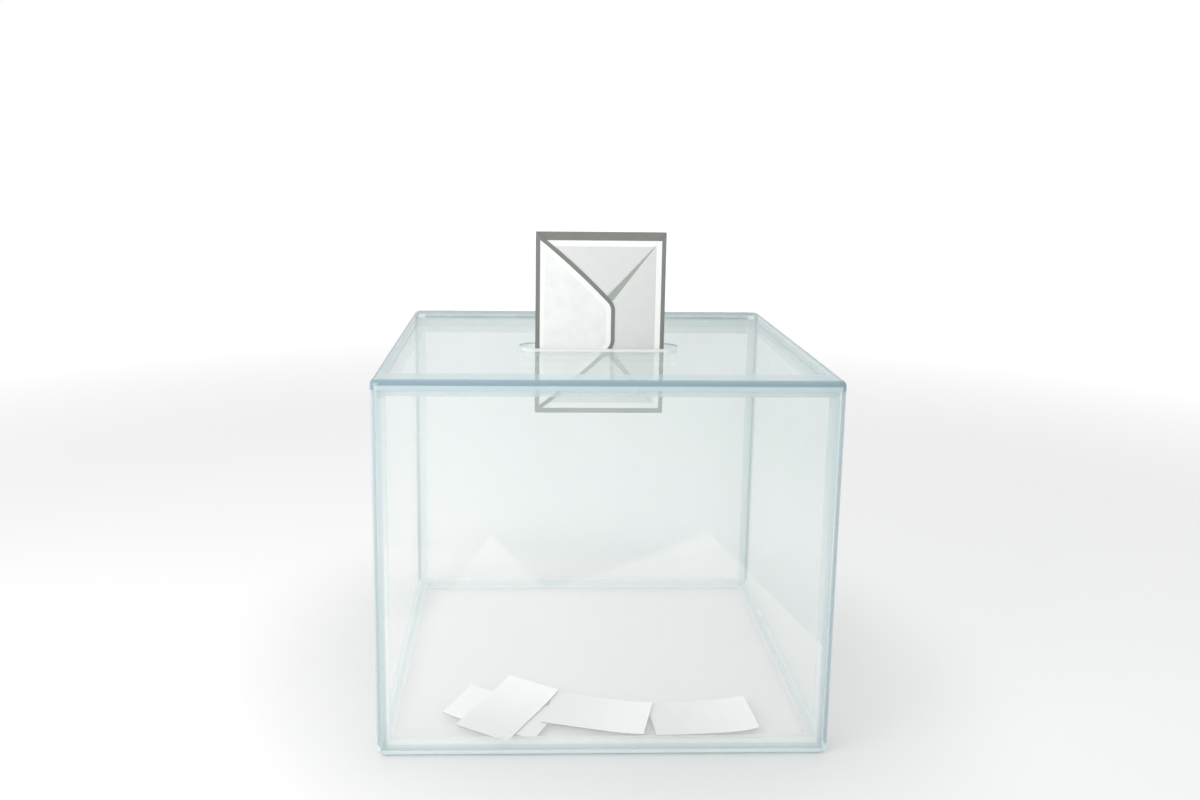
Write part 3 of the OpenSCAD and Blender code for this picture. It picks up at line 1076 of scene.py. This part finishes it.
class BALLOTBOX_OT_envelope(bpy.types.Operator):
    """The envelope, with its four flaps folded in"""

    bl_idname = "ballotbox.envelope"
    bl_label = "Envelope"

    def execute(self, context):
        low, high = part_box("envelope")
        self.middle = (low + high) / 2
        self.half = (high - low) / 2
        self.material = envelope_finish()
        self.make_body()
        self.middle.z -= FLAPS_DROP
        wide = self.half.x
        top = self.half.z + FLAPS_DROP
        foot = FLAPS_DROP - self.half.z
        self.make_flap("envelope_top_flap", FLAP_LAYER, [(-wide, top), (0, FLAP_GAP), (wide, top)])
        self.make_flap("envelope_foot_flap", FLAP_LAYER, [(-wide, foot), (wide, foot), (0, -FLAP_GAP)])
        across, up = RIGHT_TIP
        self.make_flap(
            "envelope_right_flap",
            RIGHT_LAYER,
            [(wide, top - RIGHT_GAP), (across, up), (across, -up), (wide, foot + RIGHT_GAP)],
        )
        self.make_gap_shadow()
        self.make_closing_flap(wide, top, foot)
        return {"FINISHED"}

    def thickness(self, x, z):
        """Half the body's thickness at a place across and up from the middle."""
        across = min(1, abs(x) / self.half.x)
        along = min(1, abs(z) / self.half.z)
        return BODY_EDGE + BODY_SWELLING * (1 - across**4) * (1 - along**4)

    def make_body(self):
        low = self.middle - self.half
        high = self.middle + self.half
        plane = low.y + BODY_DEPTH
        low.y, high.y = plane - BODY_BLOCK, plane + BODY_BLOCK
        bm = block(low, high)
        rounded(bm, [e for e in bm.edges if along_y(e)], BODY_CORNER, segments=4)
        rounded(bm, [e for e in bm.edges if not along_y(e)], BODY_RIM, segments=2)
        self.middle.y = plane
        grid_cut(bm, low, high, BODY_GRID)
        for vert in bm.verts:
            thickness = self.thickness(vert.co.x - self.middle.x, vert.co.z - self.middle.z)
            vert.co.y = plane + (vert.co.y - plane) * thickness / BODY_BLOCK
        self.finish("envelope_body", bm, ["envelope"])

    def finish(self, name, bm, nodes=()):
        piece(name, bm, self.material, "envelope", nodes)

    def flat_face(self, corners):
        """A face in the envelope's plane, from corners across and up from where the flaps meet."""
        bm = bmesh.new()
        verts = [bm.verts.new(self.middle + Vector((x, 0, z))) for x, z in corners]
        bmesh.ops.contextual_create(bm, geom=verts)
        bm.faces.layers.float.new("tone")
        return bm

    def lay(self, bm, layer):
        """Lays a flat shape, cut into small faces, on the body in a layer and gives it thickness."""
        paper = sizes().paper
        for vert in bm.verts:
            thickness = self.thickness(vert.co.x - self.middle.x, vert.co.z - self.middle.z)
            vert.co.y = self.middle.y - thickness - layer * (paper + LAYER_GAP)
        bmesh.ops.recalc_face_normals(bm, faces=bm.faces)
        if bm.faces[:][0].normal.y > 0:
            bmesh.ops.reverse_faces(bm, faces=bm.faces)
        bmesh.ops.solidify(bm, geom=bm.faces[:], thickness=paper)

    def make_flap(self, name, layer, corners):
        bm = self.flat_face(corners)
        inner = [v for v in bm.verts if abs(v.co.x - self.middle.x) < self.half.x - SAME_PLACE]
        rounded(bm, inner, FLAP_CORNER, segments=6, affect="VERTICES")
        mark(bm, bm.faces, UNDER)
        small_faces(bm)
        self.lay(bm, layer)
        self.finish(name, bm)

    def make_gap_shadow(self):
        """Painted shadow along the right flap's two slanted edges, widest where the closing flap covers it.
        """
        for name, side in (("envelope_upper_gap_shadow", 1), ("envelope_lower_gap_shadow", -1)):
            bm = self.flat_face([(x, z * side) for x, z in GAP_SHADOW_CORNERS])
            mark(bm, bm.faces, GAP_SHADOW)
            small_faces(bm)
            self.lay(bm, GAP_SHADOW_LAYER)
            self.finish(name, bm)

    def make_closing_flap(self, wide, top, foot):
        across, up = CLOSING_TIP
        bm = self.flat_face([(-wide, top), (across, up), (across, -up), (-wide, foot)])
        tips = [v for v in bm.verts if v.co.x > self.middle.x]
        rounded(bm, tips, CLOSING_CORNER, segments=6, affect="VERTICES")
        mark(bm, bm.faces, PANEL)
        panel = bm.faces[:]
        # A painted shadow along the flap's edge, then a painted highlight inside it
        for width, tone in ((sizes().flap_shadow, EDGE_SHADOW), (sizes().flap_highlight, EDGE_HIGHLIGHT)):
            bm.normal_update()
            ring = bmesh.ops.inset_region(
                bm, faces=panel, thickness=width, use_boundary=True, use_even_offset=True
            )["faces"]
            mark(bm, ring, tone)
            panel = [f for f in bm.faces if f not in ring and f[bm.faces.layers.float["tone"]] == PANEL]
        small_faces(bm)
        self.bend_edge(bm, Vector((-wide, 0, top)), Vector((across, 0, up)))
        self.bend_edge(bm, Vector((-wide, 0, foot)), Vector((across, 0, -up)))
        self.lay(bm, CLOSING_LAYER)
        self.finish("envelope_closing_flap", bm)

    def bend_edge(self, bm, start, end):
        """Bends one of the closing flap's slanted edges, and what lies just inside it, outwards."""
        line = end - start
        out = Vector((abs(line.z), 0, math.copysign(line.x, start.z))).normalized()
        for vert in bm.verts:
            offset = vert.co - self.middle - start
            offset.y = 0
            share = offset.dot(line) / line.length_squared
            depth = -offset.dot(out)
            if 0 < share < 1 and depth < BULGE_REACH:
                inwards = 1 - max(0, depth) / BULGE_REACH
                vert.co += out * BULGE * 4 * share * (1 - share) * inwards


def grid_cut(bm, low, high, step):
    """Cuts a mesh along evenly spaced planes across X and across Z."""
    for axis in (0, 2):
        normal = Vector((0, 0, 0))
        normal[axis] = 1
        count = max(1, round((high[axis] - low[axis]) / step))
        for i in range(1, count):
            point = low + (high - low) * i / count
            bmesh.ops.bisect_plane(
                bm, geom=everything(bm), dist=SAME_PLACE, plane_co=point, plane_no=normal
            )


def small_faces(bm):
    """Cuts a flap, before it is bent, into faces small enough to follow the body."""
    low = Vector(min(v.co[i] for v in bm.verts) for i in range(3))
    high = Vector(max(v.co[i] for v in bm.verts) for i in range(3))
    grid_cut(bm, low, high, FLAP_GRID)


def mark(bm, faces, tone):
    layer = bm.faces.layers.float["tone"]
    for face in faces:
        face[layer] = tone


def along_y(edge):
    a, b = (v.co for v in edge.verts)
    return abs(a.y - b.y) > max(abs(a.x - b.x), abs(a.z - b.z))


# Each ballot's fold, 1 along its back edge and -1 along its front edge, how high its left and its
# right end are lifted, and the tones of its two ends, which paint shade on them
BALLOTS = (
    ("ballot_1", 1, 2.6 * MM, 0, 0, SHADED_END),
    ("ballot_2", -1, 0.6 * MM, 3.4 * MM, SHADED_END, 0.1),
    ("ballot_3", 1, 0, 2.0 * MM, SHADED_END, 0),
    ("ballot_4", 1, -1.0 * MM, 2.6 * MM, SHADED_END, 0),
)

# Faces along a ballot, across each of its leaves and round its fold
ALONG, ACROSS, ROUND = 22, 12, 6

# A face whose normal rises less than this is a cut edge or the fold
UPRIGHT = 0.3


class BALLOTBOX_OT_ballots(bpy.types.Operator):
    """The folded ballots on the floor"""

    bl_idname = "ballotbox.ballots"
    bl_label = "Ballots"

    def execute(self, context):
        material = ballot_finish()
        for node, fold, left_lift, right_lift, left_tone, right_tone in BALLOTS:
            place, length, width, height = lying(node)
            bm = self.folded(length, width, height, fold)
            self.bend_ends(bm, length, height, left_lift, right_lift)
            self.shade(bm, left_tone, right_tone)
            bmesh.ops.transform(bm, matrix=place, verts=bm.verts)
            piece(node + "_paper", bm, material, "base", [node], sharp=50)
        return {"FINISHED"}

    def folded(self, length, width, height, fold):
        """A sheet folded along a long edge."""
        paper = sizes().ballot_paper
        radius = (height - paper) / 2
        leaf = width - radius - paper / 2
        bm = bmesh.new()
        start = bm.verts.new((-length / 2, -fold * width / 2, paper / 2))
        end = bm.verts.new((length / 2, -fold * width / 2, paper / 2))
        edge = bm.edges.new((start, end))
        bmesh.ops.bisect_edges(bm, edges=[edge], cuts=ALONG - 1)
        row = extrude_row(bm, bm.edges[:], Vector((0, fold * leaf, 0)), ACROSS)
        turn = bmesh.ops.spin(
            bm,
            geom=row,
            cent=(0, fold * (width / 2 - radius - paper / 2), height / 2),
            axis=(fold, 0, 0),
            angle=math.pi,
            steps=ROUND,
        )
        extrude_row(bm, edges_of(turn["geom_last"]), Vector((0, -fold * leaf, 0)), ACROSS)
        bmesh.ops.remove_doubles(bm, verts=bm.verts, dist=SAME_PLACE)
        bmesh.ops.recalc_face_normals(bm, faces=bm.faces)
        bmesh.ops.solidify(bm, geom=bm.faces[:], thickness=paper)
        return bm

    def bend_ends(self, bm, length, height, left_lift, right_lift):
        """Bends a ballot's ends up or down, and centres it on its height."""
        centre = (max(v.co.z for v in bm.verts) + min(v.co.z for v in bm.verts)) / 2
        for vert in bm.verts:
            along = 2 * vert.co.x / length
            lift = left_lift if along < 0 else right_lift
            vert.co.z += height / 2 - centre + lift * abs(along) ** 3

    def shade(self, bm, left_tone, right_tone):
        """Paints shade on the paper from its left end to its right end, and on its upright cut edges and
        fold.
        """
        bm.normal_update()
        layer = bm.faces.layers.float.new("tone")
        reach = max(v.co.x for v in bm.verts)
        for face in bm.faces:
            along = (face.calc_center_median().x / reach + 1) / 2
            tone = left_tone + (right_tone - left_tone) * along
            face[layer] = SHADED_EDGE if abs(face.normal.z) < UPRIGHT else tone


def extrude_row(bm, row, move, steps):
    """Extrudes a row of edges several times, and returns the last row."""
    for _ in range(steps):
        made = bmesh.ops.extrude_edge_only(bm, edges=row)["geom"]
        verts = [g for g in made if isinstance(g, bmesh.types.BMVert)]
        bmesh.ops.translate(bm, vec=move / steps, verts=verts)
        row = [e for e in edges_of(made) if all(v in verts for v in e.verts)]
    return row


def lying(node):
    """Where a ballot lies, as a matrix with its length along X, and its length, width and height."""
    corners = {tuple(round(c, 6) for c in v.co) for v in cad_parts[node].data.vertices}
    low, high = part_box(node)
    flat = [Vector(c) for c in corners if c[2] < low.z + 0.1 * MM]
    middle = sum(flat, Vector()) / len(flat)
    first = flat[0]
    by_distance = sorted(flat[1:], key=lambda c: (c - first).length)
    width = (by_distance[0] - first).length
    along = by_distance[1] - first
    if along.x < 0:
        along.negate()
    axis = along.normalized()
    place = Matrix.Translation(middle) @ Matrix((axis, UP.cross(axis), UP)).transposed().to_4x4()
    return place, along.length, width, high.z - low.z


class BALLOTBOX_PT_panel(bpy.types.Panel):
    """Lists the pieces of the ballot box"""

    bl_idname = "BALLOTBOX_PT_panel"
    bl_label = "Ballot Box"
    bl_space_type = "VIEW_3D"
    bl_region_type = "UI"
    bl_category = "Ballot Box"

    def draw(self, context):
        for operator in OPERATORS:
            self.layout.operator(operator.bl_idname)


OPERATORS = (
    BALLOTBOX_OT_stage,
    BALLOTBOX_OT_sheets,
    BALLOTBOX_OT_rods,
    BALLOTBOX_OT_lid,
    BALLOTBOX_OT_hinge,
    BALLOTBOX_OT_envelope,
    BALLOTBOX_OT_ballots,
)
CLASSES = (BallotBoxSizes, BallotBoxColours, BallotBoxStage, *OPERATORS, BALLOTBOX_PT_panel)


def register():
    for cls in CLASSES:
        bpy.utils.register_class(cls)
    bpy.types.Scene.ballot_box_sizes = PointerProperty(type=BallotBoxSizes)
    bpy.types.Scene.ballot_box_colours = PointerProperty(type=BallotBoxColours)
    bpy.types.Scene.ballot_box_stage = PointerProperty(type=BallotBoxStage)


def unregister():
    del bpy.types.Scene.ballot_box_stage
    del bpy.types.Scene.ballot_box_colours
    del bpy.types.Scene.ballot_box_sizes
    for cls in reversed(CLASSES):
        bpy.utils.unregister_class(cls)


def main():
    register()
    bpy.ops.ballotbox.stage()
    bpy.ops.ballotbox.sheets()
    bpy.ops.ballotbox.rods()
    bpy.ops.ballotbox.lid()
    bpy.ops.ballotbox.hinge()
    bpy.ops.ballotbox.envelope()
    bpy.ops.ballotbox.ballots()
    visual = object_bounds()
    ({
            "cad": [list(CAD_BOX[0]), list(CAD_BOX[1])],
            "visual": [list(visual[0]), list(visual[1])],
        })


if __name__ == "__main__":
    main()
